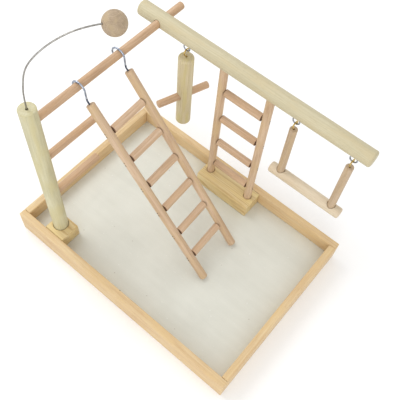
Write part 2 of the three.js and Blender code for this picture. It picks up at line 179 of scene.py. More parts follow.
def tone(code):
    """A colour as a screen shows it, from its hex code, as the linear colour that nodes take."""
    parts = [int(code[i:i + 2], 16) / 255 for i in (0, 2, 4)]
    linear = [c / 12.92 if c <= 0.04045 else ((c + 0.055) / 1.055) ** 2.4 for c in parts]
    return (*linear, 1)


class Recipe:
    """A material under construction. Each call adds a node and returns what comes out of it."""

    def __init__(self, name):
        self.material = bpy.data.materials.new(name)
        self.material.use_nodes = True
        self.tree = self.material.node_tree
        self.shader = self.tree.nodes["Principled BSDF"]

    def feed(self, socket, value):
        if isinstance(value, bpy.types.NodeSocket):
            self.tree.links.new(value, socket)
        else:
            socket.default_value = value

    def set(self, **values):
        for name, value in values.items():
            self.feed(self.shader.inputs[name.replace("_", " ")], value)

    def math(self, operation, *values):
        node = self.tree.nodes.new("ShaderNodeMath")
        node.operation = operation
        for socket, value in zip(node.inputs, values):
            self.feed(socket, value)
        return node.outputs[0]

    def vector(self, operation, *values):
        node = self.tree.nodes.new("ShaderNodeVectorMath")
        node.operation = operation
        for socket, value in zip(node.inputs, values):
            self.feed(socket, value)
        return node.outputs[0]

    def joined(self, x, y, z):
        node = self.tree.nodes.new("ShaderNodeCombineXYZ")
        for socket, value in zip(node.inputs, (x, y, z)):
            self.feed(socket, value)
        return node.outputs[0]

    def parts(self, vector):
        node = self.tree.nodes.new("ShaderNodeSeparateXYZ")
        self.feed(node.inputs[0], vector)
        return node.outputs

    def noise(self, spot, scale=1.0, detail=2.0, rough=0.5):
        """Smooth noise, 0 to 1."""
        node = self.tree.nodes.new("ShaderNodeTexNoise")
        self.feed(node.inputs["Vector"], spot)
        node.inputs["Scale"].default_value = scale
        node.inputs["Detail"].default_value = detail
        node.inputs["Roughness"].default_value = rough
        return node.outputs["Fac"]

    def span(self, value, low, high, to_low=0.0, to_high=1.0, smooth=False):
        node = self.tree.nodes.new("ShaderNodeMapRange")
        node.interpolation_type = "SMOOTHSTEP" if smooth else "LINEAR"
        for name, given in (
            ("Value", value), ("From Min", low), ("From Max", high),
            ("To Min", to_low), ("To Max", to_high),
        ):
            self.feed(node.inputs[name], given)
        return node.outputs[0]

    def blend(self, factor, below, above, mode="MIX"):
        node = self.tree.nodes.new("ShaderNodeMix")
        node.data_type = "RGBA"
        node.blend_type = mode
        self.feed(node.inputs[0], factor)
        self.feed(node.inputs[6], below)
        self.feed(node.inputs[7], above)
        return node.outputs[2]

    def bump(self, height, distance, strength=1.0):
        node = self.tree.nodes.new("ShaderNodeBump")
        node.inputs["Strength"].default_value = strength
        node.inputs["Distance"].default_value = distance
        self.feed(node.inputs["Height"], height)
        self.feed(self.shader.inputs["Normal"], node.outputs[0])

    def place(self):
        """Where a point is in its piece, in millimetres, its grain's number and shade, and how much
        painted shade darkens it there.
        """
        spot, grain = (self.tree.nodes.new("ShaderNodeAttribute") for _ in range(2))
        spot.attribute_name = "spot"
        grain.attribute_name = "grain"
        return spot.outputs["Vector"], *self.parts(grain.outputs["Vector"])

    def around(self, value, reach):
        """Noise as a number from about -reach to +reach."""
        return self.span(value, 0.25, 0.75, -reach, reach)


PAINTED_JOINT_SHADE = tone("6b4a33")  # painted shade: what the rungs' end faces darken towards, for the shadow in their butt joints
DARK_FLECK = tone("8d7d68")
CUT_APART = (31.7, 87.1, 53.9)  # how far the grain shifts from one number to the next, in mm
GOLDEN_ANGLE = 2.399  # in radians


def wood(
    name, pale, deep, warm, pith=14.0, gap=2.6, rings=0.35, streaks=0.5, fibres=0.35,
    patches=0.4, pores=0.25, rough=0.58, relief=0.05,
):
    """Sanded wood with its grain along +Z.

    pale, deep and warm are the early wood, the late wood and a tint that comes and goes. pith
    is how far the tree's heart lies from the piece's axis and gap is the width of a ring, both
    in millimetres. The rest are amounts.
    """
    make = Recipe(name)
    spot, seed, shade, soil = make.place()
    x, y, _ = make.parts(spot)
    shift = make.vector("SCALE", CUT_APART)
    make.feed(shift.node.inputs["Scale"], seed)
    spot = make.vector("ADD", spot, shift)

    # Rings round a heart beside the piece, on the side that the piece's number says.
    heart = make.math("MULTIPLY", seed, GOLDEN_ANGLE)
    wander = make.around(make.noise(make.vector("MULTIPLY", spot, (0.035, 0.035, 0.007))), 3.2)
    across = make.math("ADD", x, make.math("MULTIPLY", make.math("COSINE", heart), pith))
    over = make.math("ADD", y, make.math("MULTIPLY", make.math("SINE", heart), pith))
    reach = make.math("SQRT", make.math(
        "ADD", make.math("MULTIPLY", across, across), make.math("MULTIPLY", over, over)))
    reach = make.math("ADD", reach, wander)
    years = make.around(make.noise(make.joined(reach, seed, 0.0), 0.09, 1.0), 1.1)
    phase = make.math("ADD", make.math("DIVIDE", reach, gap), years)
    wave = make.math("SINE", make.math("MULTIPLY", phase, math.pi))
    ring = make.math("POWER", make.math("ABSOLUTE", wave), 3.0)

    # Streaks of a few millimetres, fibres finer than that, and slow patches.
    band = make.noise(make.vector("MULTIPLY", spot, (0.42, 0.42, 0.012)), 1.0, 2.0, 0.55)
    fibre = make.noise(make.vector("MULTIPLY", spot, (1.9, 1.9, 0.05)), 1.0, 3.0, 0.6)
    patch = make.noise(make.vector("MULTIPLY", spot, (0.06, 0.06, 0.016)), 1.0, 1.0)
    amount = make.math("ADD", make.math("MULTIPLY", ring, rings), make.around(band, streaks))
    amount = make.math("ADD", amount, make.around(fibre, fibres))
    amount = make.math("ADD", amount, make.around(patch, patches))
    amount = make.math("ADD", amount, shade)
    colour = make.blend(make.span(amount, -0.55, 1.15), pale, deep)
    tint = make.noise(make.vector("MULTIPLY", spot, (0.11, 0.11, 0.02)), 1.0, 2.0)
    colour = make.blend(make.span(tint, 0.42, 0.68, 0.0, 0.75, smooth=True), colour, warm)

    # Short dark pores, and painted shade where the piece has it, for the shadow in a rung's butt
    # joint.
    pore = make.noise(make.vector("MULTIPLY", spot, (3.4, 3.4, 0.22)), 1.0, 1.0, 0.4)
    pore = make.span(pore, 0.64, 0.74, 0.0, 1.0, smooth=True)
    colour = make.blend(make.math("MULTIPLY", pore, pores), colour, deep, "MULTIPLY")
    colour = make.blend(soil, colour, PAINTED_JOINT_SHADE, "MULTIPLY")
    make.set(Base_Color=colour)
    height = make.math("SUBTRACT", make.math("MULTIPLY", fibre, 0.7), pore)
    height = make.math("SUBTRACT", height, make.math("MULTIPLY", ring, 0.4))
    make.bump(height, relief * MM, 0.6)
    make.set(Roughness=make.span(make.math("ADD", fibre, pore), 0.3, 1.0, rough - 0.08, rough + 0.14))
    make.set(IOR=1.45)
    return make.material


def board(name, pale, deep, fleck, rough=0.5):
    """Smooth pale fibre board: faint clouds, a fine tooth, and a few light and dark flecks."""
    make = Recipe(name)
    spot, *_ = make.place()
    cloud = make.noise(spot, 0.014, 3.0, 0.6)
    drag = make.noise(make.vector("MULTIPLY", spot, (0.1, 0.1, 0.012)), 1.0, 3.0, 0.6)
    tooth = make.noise(spot, 1.3, 3.0, 0.65)
    amount = make.math("ADD", make.around(cloud, 0.5), make.around(drag, 0.28))
    amount = make.math("ADD", amount, make.around(tooth, 0.25))
    colour = make.blend(make.span(amount, -0.8, 0.8), pale, deep)
    spots = make.span(make.noise(spot, 0.23, 2.0, 0.5), 0.73, 0.78, 0.0, 0.7, smooth=True)
    colour = make.blend(spots, colour, fleck)
    specks = make.tree.nodes.new("ShaderNodeTexVoronoi")
    specks.inputs["Scale"].default_value = 0.045
    make.feed(specks.inputs["Vector"], spot)
    dots = make.span(specks.outputs["Distance"], 0.02, 0.045, 0.55, 0.0)
    colour = make.blend(dots, colour, DARK_FLECK)
    make.set(Base_Color=colour)
    make.bump(make.math("ADD", tooth, make.math("MULTIPLY", drag, 0.5)), 0.03 * MM, 0.5)
    make.set(Roughness=make.span(tooth, 0.3, 0.7, rough - 0.06, rough + 0.1))
    return make.material


def metal(name, pale, deep, rough, grain, relief=0.02):
    """Plated or drawn metal, darker in blotches: its plating's own mottle and painted dark
    reflections. grain is how fine its mottling is, per mm.
    """
    make = Recipe(name)
    spot, _, _, soil = make.place()
    # Painted reflection and mottle: blotches of the deep colour stand for dark surroundings seen in
    # the metal, and for the plating's own mottle.
    mottle_and_reflection = make.noise(spot, grain, 3.0, 0.6)
    scratch = make.noise(make.vector("MULTIPLY", spot, (2.5, 2.5, 0.3)), 1.0, 2.0)
    colour = make.blend(make.span(mottle_and_reflection, 0.35, 0.7), pale, deep)
    # Painted shade: darker towards the deep colour where the mesh asks, as on a hook's thread.
    make.set(Base_Color=make.blend(soil, colour, deep, "MULTIPLY"))
    make.set(Roughness=make.span(scratch, 0.3, 0.7, rough - 0.06, rough + 0.12))
    make.set(Metallic=1.0)
    make.bump(make.math("ADD", mottle_and_reflection, scratch), relief * MM, 0.4)
    return make.material


# ---------------------------------------------------------------- shaping


def added(name, shape, place):
    """A new object from a bmesh, which is used up."""
    mesh = bpy.data.meshes.new(name)
    shape.to_mesh(mesh)
    shape.free()
    made = bpy.data.objects.new(name, mesh)
    made.matrix_world = place
    SCENE.collection.objects.link(made)
    return made


def standing(start, end):
    """The frame whose +Z runs from start to end, with its origin at start."""
    turn = (Vector(end) - Vector(start)).to_track_quat("Z", "Y")
    return Matrix.Translation(start) @ turn.to_matrix().to_4x4()


def lying(node, along):
    """A box-shaped node's frame, with +Z along world X (0) or Y (1), and its size in it."""
    low, high = (Vector(corner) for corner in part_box(node))
    order = ((along + 1) % 3, (along + 2) % 3, along)
    place = Matrix([[float(axis == row) for axis in order] for row in range(3)]).to_4x4()
    start = (low + high) / 2
    start[along] = low[along]
    place.translation = start
    return place, [high[axis] - low[axis] for axis in order]


def skin(shape, rings):
    """Faces between rings of corners. A ring of one corner is a point."""
    for low, high in zip(rings, rings[1:]):
        sides = max(len(low), len(high))
        for i in range(sides):
            j = (i + 1) % sides
            if len(low) == 1:
                shape.faces.new((low[0], high[j], high[i]))
            elif len(high) == 1:
                shape.faces.new((low[i], low[j], high[0]))
            else:
                shape.faces.new((low[i], low[j], high[j], high[i]))


def lathe(outline, sides, shape=None, place=Matrix()):
    """A turned solid. The outline is (radius, height), from the bottom's middle to the top's."""
    shape = shape or bmesh.new()
    angles = [2 * math.pi * i / sides for i in range(sides)]
    rings = []
    for radius, height in outline:
        ring = [(radius * math.cos(a), radius * math.sin(a), height) for a in angles]
        spots = ring if radius else [(0, 0, height)]
        rings.append([shape.verts.new(place @ Vector(spot)) for spot in spots])
    skin(shape, rings)
    return shape


QUARTER = [math.radians(turn) for turn in (0, 22.5, 45, 67.5, 90)]
END_INSET = 0.9  # how far a board's end faces draw in, as a share of its easing
BOARD_STEP = 14 * MM
STICK_STEP = 7 * MM
WIRE_END = 0.72  # of a wire's radius
THREAD_DEPTH = 0.24  # of a wire's radius
TINY_SIDES = 14
HOLE_SIDES = 24
BAR_SIDES = 48  # of the swing's bar and the ball
THICK_SIDES = 56


def wear_at(row, place):
    """How worn a piece is, 0 to 1: a smooth noise along it, in a row that is its own."""
    return 0.5 + 0.5 * noise.noise(Vector((row, place, 0.5)))


def rounded(width, depth, ease, inset):
    """A rectangle round the origin with corners of radius ease, drawn in by inset."""
    spots = []
    for quarter in range(4):
        middle = math.radians(45 + 90 * quarter)
        x = math.copysign(width / 2 - ease, math.cos(middle))
        y = math.copysign(depth / 2 - ease, math.sin(middle))
        for turn in QUARTER:
            angle = turn + math.radians(90 * quarter)
            spots.append((x + (ease - inset) * math.cos(angle), y + (ease - inset) * math.sin(angle)))
    return spots


def slab(width, depth, length, ease, seed, wear=0.12 * MM):
    """A sanded board along +Z, its edges and ends rounded over, worn in a little in places."""
    ends = [(END_INSET * ease * (1 - math.sin(a)), ease * (1 - math.cos(a))) for a in QUARTER]
    stations = list(ends)
    steps = max(2, round(length / BOARD_STEP))
    for i in range(1, steps):
        height = ease + (length - 2 * ease) * i / steps
        stations.append((wear * wear_at(seed * 3.7, height * 19), height))
    stations += [(inset, length - height) for inset, height in reversed(ends)]
    shape = bmesh.new()
    rings = []
    for inset, height in stations:
        outline = rounded(width, depth, ease, inset)
        rings.append([shape.verts.new((x, y, height)) for x, y in outline])
    skin(shape, rings)
    shape.faces.new(reversed(rings[0]))
    shape.faces.new(rings[-1])
    return shape


def through(points, gaps):
    """A smooth curve through the points, with its own spacing in each stretch between them."""
    rows = [Vector(point) for point in points]
    rows = [2 * rows[0] - rows[1], *rows, 2 * rows[-1] - rows[-2]]
    spots = []
    for a, b, c, d, gap in zip(rows, rows[1:], rows[2:], rows[3:], gaps):
        before, span, after = (math.sqrt((q - p).length) for p, q in ((a, b), (b, c), (c, d)))
        leave = ((b - a) / before - (c - a) / (before + span) + (c - b) / span) * span
        arrive = ((c - b) / span - (d - b) / (span + after) + (d - c) / after) * span
        steps = max(2, math.ceil((c - b).length / gap))
        for i in range(steps):
            t = i / steps
            spot = b * (2 * t**3 - 3 * t**2 + 1) + c * (3 * t**2 - 2 * t**3)
            spots.append(spot + leave * (t**3 - 2 * t**2 + t) + arrive * (t**3 - t**2))
    spots.append(rows[-2])
    return spots


def wire(spots, radius, thread=None, sides=16):
    """A round wire with eased ends. thread is (from, to, pitch), in distance along the wire."""
    shape = bmesh.new()
    rings = []
    along = 0.0
    side = Vector((1, 0, 0))
    for i, spot in enumerate(spots):
        ahead = (spots[min(i + 1, len(spots) - 1)] - spots[max(i - 1, 0)]).normalized()
        if abs(ahead.dot(side)) > 0.99:
            side = Vector((0, 1, 0))
        side = (side - ahead * ahead.dot(side)).normalized()
        over = ahead.cross(side)
        if i:
            along += (spot - spots[i - 1]).length
        ease = WIRE_END if i in (0, len(spots) - 1) else 1.0
        ring = []
        for k in range(sides):
            angle = 2 * math.pi * k / sides
            reach = radius * ease
            if thread and thread[0] < along < thread[1]:
                turn = (along / thread[2] - k / sides) % 1
                fade = min(1.0, (thread[1] - along) / thread[2])
                reach *= 1 - THREAD_DEPTH * fade * abs(2 * turn - 1)
            ring.append(shape.verts.new(
                spot + reach * (math.cos(angle) * side + math.sin(angle) * over)))
        rings.append(ring)
    skin(shape, rings)
    shape.faces.new(reversed(rings[0]))
    shape.faces.new(rings[-1])
    return shape


def bake(made):
    """Leaves what the modifiers make as the piece's own mesh."""
    graph = bpy.context.evaluated_depsgraph_get()
    done = bpy.data.meshes.new_from_object(made.evaluated_get(graph))
    made.modifiers.clear()
    made.data = done


def carve(made, cutters):
    """Takes the cutters out of a piece and throws them away."""
    for tool in cutters:
        step = made.modifiers.new("cut", "BOOLEAN")
        step.operation = "DIFFERENCE"
        step.solver = "EXACT"
        step.object = tool
    bake(made)
    for tool in cutters:
        bpy.data.objects.remove(tool)


def cutter(start, end, radius, flare=0.0, sides=40):
    """A round cutter between two points, opened out by flare at the second one."""
    length = (Vector(end) - Vector(start)).length
    outline = [(0, 0), (radius, 0), (radius, length - flare), (radius + flare, length)]
    if flare:
        outline.append((radius + flare, length + flare))
    outline.append((0, outline[-1][1]))
    return added("cutter", lathe(outline, sides), standing(start, end))


def finish(made, node, look, seed=0.0, shade=0.0, crease=38, slot=None, soil=None):
    """Gives a piece its surface and its grain, and sets it on its node's body.

    The last argument tells from a place in the piece's own frame how much painted shade darkens the
    piece there.
    """
    mesh = made.data
    mesh.materials.clear()
    mesh.materials.append(look)
    mesh.shade_smooth()
    mesh.set_sharp_from_angle(angle=math.radians(crease))
    spots = [vertex.co.copy() for vertex in mesh.vertices]
    spot = mesh.attributes.new("spot", "FLOAT_VECTOR", "POINT")
    grain = mesh.attributes.new("grain", "FLOAT_VECTOR", "POINT")
    for place, here, there in zip(spots, spot.data, grain.data):
        here.vector = place / MM
        there.vector = (seed, shade, soil(place) if soil else 0)
    mesh.transform(made.matrix_world)
    made.matrix_world = Matrix()
    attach(made, NODES[node]["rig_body"])
    return made


def in_place_of(node, suffix, shape, place, look, cutters=(), **rest):
    """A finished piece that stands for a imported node."""
    made = added(f"{node}_{suffix}", shape, place)
    if cutters:
        carve(made, cutters)
    finish(made, node, look, **rest)
    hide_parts(node)
    return made


# ---------------------------------------------------------------- round sticks


END_SLICE = 0.3 * MM  # how deep the corners of an end lie
OUTER_RING = 0.7  # of the furthest corner's distance
ROUNDS = 4  # of each search, which closes in on its result
FACE_RING = 0.55  # of the flat face, where a ring of corners lies
END_BAND = 0.65 * MM  # how far the shade of a butt joint reaches along a stick


def end_centre(spots):
    """The middle of the outer ring of corners at a round piece's end."""
    centre = spots.mean(axis=0)
    for _ in range(ROUNDS):
        reach = np.linalg.norm(spots - centre, axis=1)
        centre = spots[reach > OUTER_RING * reach.max()].mean(axis=0)
    return centre


@functools.cache
def stick_of(node):
    """The two end centres and the radius of a round piece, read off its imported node."""
    spots = np.array([tuple(v.co) for v in NODES[node].data.vertices]).round(6)
    spots = np.unique(spots, axis=0)
    middle = spots.mean(axis=0)
    along = np.linalg.svd(spots - middle, full_matrices=False)[2][0]
    if along.sum() < 0:
        along = -along
    if abs(along[2]) > 0.5 and along[2] < 0:
        along = -along
    for _ in range(ROUNDS):
        reach = (spots - middle) @ along
        low = end_centre(spots[reach < reach.min() + END_SLICE])
        high = end_centre(spots[reach > reach.max() - END_SLICE])
        along = (high - low) / np.linalg.norm(high - low)
    out = spots - low
    out = out - np.outer(out @ along, along)
    return Vector(low), Vector(high), float(np.linalg.norm(out, axis=1).max())


def stick_end(radius, ease):
    """The outline of a stick's end, from the middle of its face to where its side starts."""
    outline = [(0, 0), ((radius - ease) * FACE_RING, 0)]
    for turn in QUARTER:
        outline.append((radius - ease + ease * math.sin(turn), ease - ease * math.cos(turn)))
    return outline


def stick_outline(radius, length, foot, ease, seed, uneven=0.012):
    """Ends rounded by foot below and ease above, and a body that is never quite even."""
    outline = stick_end(radius, foot)
    body = length - foot - ease
    steps = max(4, round(body / STICK_STEP))
    heights = [foot + body * i / steps for i in range(1, steps)]
    for height in (foot + END_BAND, *heights, length - ease - END_BAND):
        outline.append((radius * (1 - uneven * wear_at(seed * 5.3, height * 26)), height))
    outline += [(r, length - h) for r, h in reversed(stick_end(radius, ease))]
    return outline


def tone_shift(seed, reach=0.16):
    """How much darker one stick of a batch is than the next."""
    return reach * math.sin(7.1 * seed)


def make_stick(node, look, ease, seed, cutters=(), sides=40, shade=None, soil=0.0, foot=None):
    """A round stick in place of its node. Its two end faces get painted shade, as dark as the amount
    given, for the shadow of a butt joint.

    ease rounds both ends over, unless foot is given for the lower one.
    """
    start, end, radius = stick_of(node)
    length = (end - start).length
    foot = foot or ease
    outline = stick_outline(radius, length, foot, ease, seed)
    shade = tone_shift(seed) if shade is None else shade

    # Painted shade on the end faces, for the shadow where a rung butts against its rail.
    def at_ends(place):
        return soil if min(place.z - foot, length - ease - place.z) < END_BAND / 2 else 0.0

    return in_place_of(node, "wood", lathe(outline, sides), standing(start, end), look,
                       cutters, seed=seed, shade=shade, soil=at_ends)


SOCKET_SLACK = 0.6 * MM
SOCKET_RIM = 0.6 * MM


def socket_for(node, start, end, flare=SOCKET_RIM):
    """The hole that a round piece stands in, a little deeper than it, its rim chamfered."""
    start, end = Vector(start), Vector(end)
    deeper = start - (end - start).normalized() * SOCKET_SLACK
    return cutter(deeper, end, stick_of(node)[2] + SOCKET_SLACK, flare)


def straight_through(node, before, after):
    """The hole that a stick passes through."""
    start, end, _ = stick_of(node)
    along = (end - start).normalized()
    return socket_for(node, start - along * before, end + along * after, 0.0)


# ---------------------------------------------------------------- looks

PALE = wood("pale_hardwood", tone("cfc6a9"), tone("b4a986"), tone("c7b995"), streaks=0.3,
            patches=0.2)
POST_LOOK = wood("post_hardwood", tone("d3cdac"), tone("b1a982"), tone("cac092"), streaks=0.4)
TOY_LOOK = wood("toy_hardwood", tone("d9ccac"), tone("b6a67d"), tone("cabc86"), streaks=0.4)
TAN = wood("tan_hardwood", tone("d0b192"), tone("a98664"), tone("c39f79"))
RAIL_LOOK = wood("rail_hardwood", tone("d8bda0"), tone("b08f6d"), tone("cdb187"))
RUNG_LOOK = wood("rung_hardwood", tone("d9bea2"), tone("b69472"), tone("ceac89"))
ARM_LOOK = wood("arm_hardwood", tone("cfb89d"), tone("a58d6e"), tone("c0a682"))
BAR_LOOK = wood("bar_hardwood", tone("dfd1b8"), tone("c3ad8c"), tone("d8c5a9"), streaks=0.4)
PINE = wood("honey_pine", tone("e2cba1"), tone("c5a071"), tone("dabc8a"), pith=40, gap=4.2)
BLOCK_PINE = wood("block_pine", tone("ead8a8"), tone("bd9d66"), tone("e0c98f"), pith=34, gap=3.2,
                  rings=0.8, streaks=0.3)
BOARD = board("floor_board", tone("e0e0d6"), tone("d1d1c6"), tone("eeeee9"))
# The metals' deep colours are partly painted dark reflection.
STEEL = metal("zinc_steel", tone("bcc3d0"), tone("687080"), 0.3, 0.5)
SPRING = metal("spring_steel", tone("a8a6a2"), tone("7e7a74"), 0.35, 0.5)
BRASS = metal("brass_plate", tone("dcc078"), tone("8f7338"), 0.3, 0.7)
NAIL = metal("nail_steel", tone("625c55"), tone("38332e"), 0.5, 0.9)
BALL_LOOK = wood("ball_wood", tone("bda88d"), tone("937f68"), tone("b7a281"), pith=5, gap=1.7,
                 rings=0.5, patches=0.1)
KNOT = wood("pin_knot", tone("7d5a3c"), tone("4c3320"), tone("6b4a30"), pith=1, gap=0.6)

# ---------------------------------------------------------------- tray and blocks

BOARD_EASE = 0.5 * MM
RAIL_EASE = 1.1 * MM
BLOCK_EASE = 1.3 * MM
GROOVE_SLACK = 0.3 * MM
SCREWS = ("post_screw", "post_block_screw", "ladder_block_screw_left", "ladder_block_screw_right")
SCREW_SLACK = 0.25 * MM
SCREW_POINT = 3 * MM
SCREW_TIP = 0.35 * MM  # its radius
HEAD_EDGE = 0.2 * MM
CROSS_ARM = 2.1 * MM  # from the head's middle
CROSS_HALF_WIDTH = 0.45 * MM
CROSS_DEPTH = 1.3 * MM
KNOTS = ((0.9, -139.2, 0.75), (193.1, -136.2, 0.45), (194.6, -137.4, 0.4))  # x, y, radius in mm
KNOT_DEPTH = 0.5 * MM
KNOT_SUNK = 0.06 * MM
KNOT_CROWN = 0.02 * MM


def box_cutter(low, high):
    """A box-shaped cutter between two corners."""
    shape = bmesh.new()
    bmesh.ops.create_cube(shape, size=1.0)
    middle = (Vector(low) + Vector(high)) / 2
    size = Vector(high) - Vector(low)
    bmesh.ops.transform(shape, matrix=Matrix.Diagonal((*size, 1.0)), verts=shape.verts)
    return added("cutter", shape, Matrix.Translation(middle))


def groove():
    """The groove in the tray's rails that its floor stands in."""
    low, high = (Vector(corner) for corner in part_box("tray_floor"))
    slack = Vector((GROOVE_SLACK,) * 3)
    return box_cutter(low - slack, high + slack)


def screw_outline(node, grow=0.0):
    """A countersunk wood screw, point up, from the underside of its head."""
    low, high = (Vector(corner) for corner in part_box(node))
    head = (high.x - low.x) / 2
    shank = head / 2
    length = high.z - low.z
    return [
        (0, -grow), (head * 0.96 + grow, -grow), (head + grow, HEAD_EDGE),
        (shank + grow, head - shank + grow), (shank + grow, length - SCREW_POINT),
        (SCREW_TIP + grow, length + grow), (0, length + grow),
    ]


def screw_place(node):
    """The frame of a screw, with its origin in the middle of its head's underside."""
    low, high = (Vector(corner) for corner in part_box(node))
    return Matrix.Translation(((low.x + high.x) / 2, (low.y + high.y) / 2, low.z))


def screw_holes(names=SCREWS):
    return [
        added("cutter", lathe(screw_outline(name, SCREW_SLACK), HOLE_SIDES), screw_place(name))
        for name in names
    ]


def make_screw(node):
    """A screw with a cross recess in its head."""
    place = screw_place(node)
    centre = place.translation
    arms = []
    for x, y in ((CROSS_ARM, CROSS_HALF_WIDTH), (CROSS_HALF_WIDTH, CROSS_ARM)):
        reach = Vector((x, y, CROSS_DEPTH))
        arms.append(box_cutter(centre - reach, centre + reach))
    in_place_of(node, "metal", lathe(screw_outline(node), 32), place, STEEL, arms, seed=3.0)


def make_slab(node, look, along, ease, seed, cutters=(), shade=0.0):
    place, (width, depth, length) = lying(node, along)
    shape = slab(width, depth, length, ease, seed)
    return in_place_of(node, "board", shape, place, look, cutters, seed=seed, shade=shade)


def pin_knots():
    """A small dark knot half way along the front rail, and two smaller ones by its right end."""
    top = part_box("tray_rail_front")[1][2]
    shape = bmesh.new()
    for x, y, radius in KNOTS:
        outline = [(0, -KNOT_DEPTH), (radius * MM, -KNOT_DEPTH), (radius * MM, 0), (0, KNOT_CROWN)]
        place = Matrix.Translation((x * MM, y * MM, top - KNOT_SUNK))
        lathe(outline, TINY_SIDES, shape, place)
    made = added("tray_pin_knots", shape, Matrix())
    finish(made, "tray_rail_front", KNOT, 5.0)


def make_tray():
    make_slab("tray_floor", BOARD, 0, BOARD_EASE, 1.0, screw_holes())
    for count, (side, along) in enumerate((("front", 0), ("back", 0), ("left", 1), ("right", 1))):
        make_slab(f"tray_rail_{side}", PINE, along, RAIL_EASE, 11.3 + 2 * count, [groove()],
                  tone_shift(count + 1, 0.1))
    for name in SCREWS:
        make_screw(name)
    pin_knots()


def make_blocks():
    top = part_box("post_base_block")[1][2]
    low = stick_of("post")[0]
    hole = socket_for("post", low, (low.x, low.y, top))
    make_slab("post_base_block", BLOCK_PINE, 0, BLOCK_EASE, 15.0,
              [hole, *screw_holes(SCREWS[:2])], 0.1)
    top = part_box("ladder_base_block")[1][2]
    holes = []
    for side in ("left", "right"):
        name = "standing_ladder_rail_" + side
        low = stick_of(name)[0]
        holes.append(socket_for(name, low, (low.x, low.y, top)))
    make_slab("ladder_base_block", BLOCK_PINE, 0, BLOCK_EASE, 17.0,
              [*holes, *screw_holes(SCREWS[2:])])


# ---------------------------------------------------------------- screw eyes, hooks and nails

EYE_WIRE = 2.0 * MM
EYE_LOOP = 5.0 * MM
EYE_NECK = 4.0 * MM
EYE_OPEN = (38, 315)  # where the loop starts and ends, in degrees from its foot
PERCH_EYE_SCREW = 12 * MM
HUNG_EYE_SCREW = 11 * MM
HOOK_WIRE = 2.6 * MM
HOOK_LOOP = 10.2 * MM
HOOK_OPEN = (45, 262)
HOOK_SCREW = 16 * MM
EYE_THREADED = 0.35  # of the neck outside the wood
HOOK_THREADED = 0.6
THREAD_PITCH = 0.9 * MM
# how dark a hook's threaded part is painted, as shade
THREAD_PAINTED_SHADE = 0.85
STRAIGHT = 0.35  # of the neck, before it bends into the loop
LOOP_STEP = 15  # in degrees
SHANK_GAP = 1.0 * MM  # between a wire's rings where it is plain, threaded and looped
THREAD_GAP = 0.12 * MM
LOOP_GAP = 0.45 * MM
WIRE_SLACK = 0.3 * MM
HOLE_SPARE = 1 * MM  # past the wire's end
EYE_RIM = 0.35 * MM
HOOK_RIM = 0.4 * MM

EYES_ON_PERCH = ("toy_perch_eye", "swing_perch_eye_left", "swing_perch_eye_right")
LADDER_RUNGS = {"standing_ladder": 4, "leaning_ladder": 6}


def screw_loop(loop, gauge, neck, screw, opening, threaded):
    """An eye or hook in the YZ plane, its loop round the origin and its thread down.

    threaded is how much of the neck outside the wood still has thread.
    """
    foot = -loop - neck
    heights = (foot - screw, foot - screw / 2, foot, foot + STRAIGHT * neck)
    points = [(0, 0, height) for height in heights]
    first, last = opening
    count = round((last - first) / LOOP_STEP)
    for i in range(count + 1):
        angle = math.radians(first + (last - first) * i / count)
        points.append((0, -loop * math.sin(angle), -loop * math.cos(angle)))
    gaps = [SHANK_GAP] + [THREAD_GAP] * 3 + [LOOP_GAP] * count
    thread = (screw / 2, screw + threaded * neck, THREAD_PITCH)
    return wire(through(points, gaps), gauge / 2, thread)


def eye_frame(node):
    """The frame of a screw eye, from its node: fixed eyes point up and hung eyes down."""
    low, high = (Vector(corner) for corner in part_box(node))
    centre = (low + high) / 2
    if node in EYES_ON_PERCH:
        centre.z = low.z + EYE_LOOP + EYE_WIRE / 2
        turn = Matrix.Rotation(math.pi, 4, "X") @ Matrix.Rotation(math.pi / 2, 4, "Z")
    else:
        centre.z = high.z - EYE_LOOP - EYE_WIRE / 2
        turn = Matrix()
    return Matrix.Translation(centre) @ turn


def make_eye(node):
    screw, look = (PERCH_EYE_SCREW, STEEL) if node in EYES_ON_PERCH else (HUNG_EYE_SCREW, BRASS)
    shape = screw_loop(EYE_LOOP, EYE_WIRE, EYE_NECK, screw, EYE_OPEN, EYE_THREADED)
    in_place_of(node, "metal", shape, eye_frame(node), look, seed=len(node))


def eye_hole(node):
    """The hole in the wood for a screw eye, opened a little at the surface."""
    place = eye_frame(node)
    screw = PERCH_EYE_SCREW if node in EYES_ON_PERCH else HUNG_EYE_SCREW
    surface = -EYE_LOOP - EYE_NECK
    start = place @ Vector((0, 0, surface - screw - HOLE_SPARE))
    end = place @ Vector((0, 0, surface))
    return cutter(start, end, EYE_WIRE / 2 + WIRE_SLACK, EYE_RIM, HOLE_SIDES)


def ladder_axes():
    """Across the leaning ladder, square to it, and up along it."""
    low, high, _ = stick_of("leaning_ladder_rail_left")
    other = stick_of("leaning_ladder_rail_right")[0]
    up = (high - low).normalized()
    across = (other - low).normalized()
    return across, up.cross(across), up


def hook_frame(side):
    """The frame of a ladder hook, and its neck's length outside the wood."""
    across, out, up = ladder_axes()
    top = stick_of("leaning_ladder_rail_" + side)[1]
    spots = [v.co for v in NODES["leaning_ladder_hook_" + side].data.vertices]
    reach = HOOK_LOOP + HOOK_WIRE / 2
    outward = min((spot - top).dot(out) for spot in spots) + reach
    height = max((spot - top).dot(up) for spot in spots) - reach
    place = Matrix((across, out, up)).transposed().to_4x4()
    place.translation = top + out * outward + up * height
    return place, height - HOOK_LOOP


def make_hook(side):
    place, neck = hook_frame(side)
    shape = screw_loop(HOOK_LOOP, HOOK_WIRE, neck, HOOK_SCREW, HOOK_OPEN, HOOK_THREADED)
    wood_top = -HOOK_LOOP - neck

    # Painted shade on the hook's threaded part.
    def threaded(place):
        return THREAD_PAINTED_SHADE if place.z < wood_top + HOOK_THREADED * neck else 0.0

    in_place_of("leaning_ladder_hook_" + side, "metal", shape, place, STEEL, seed=len(side),
                soil=threaded)


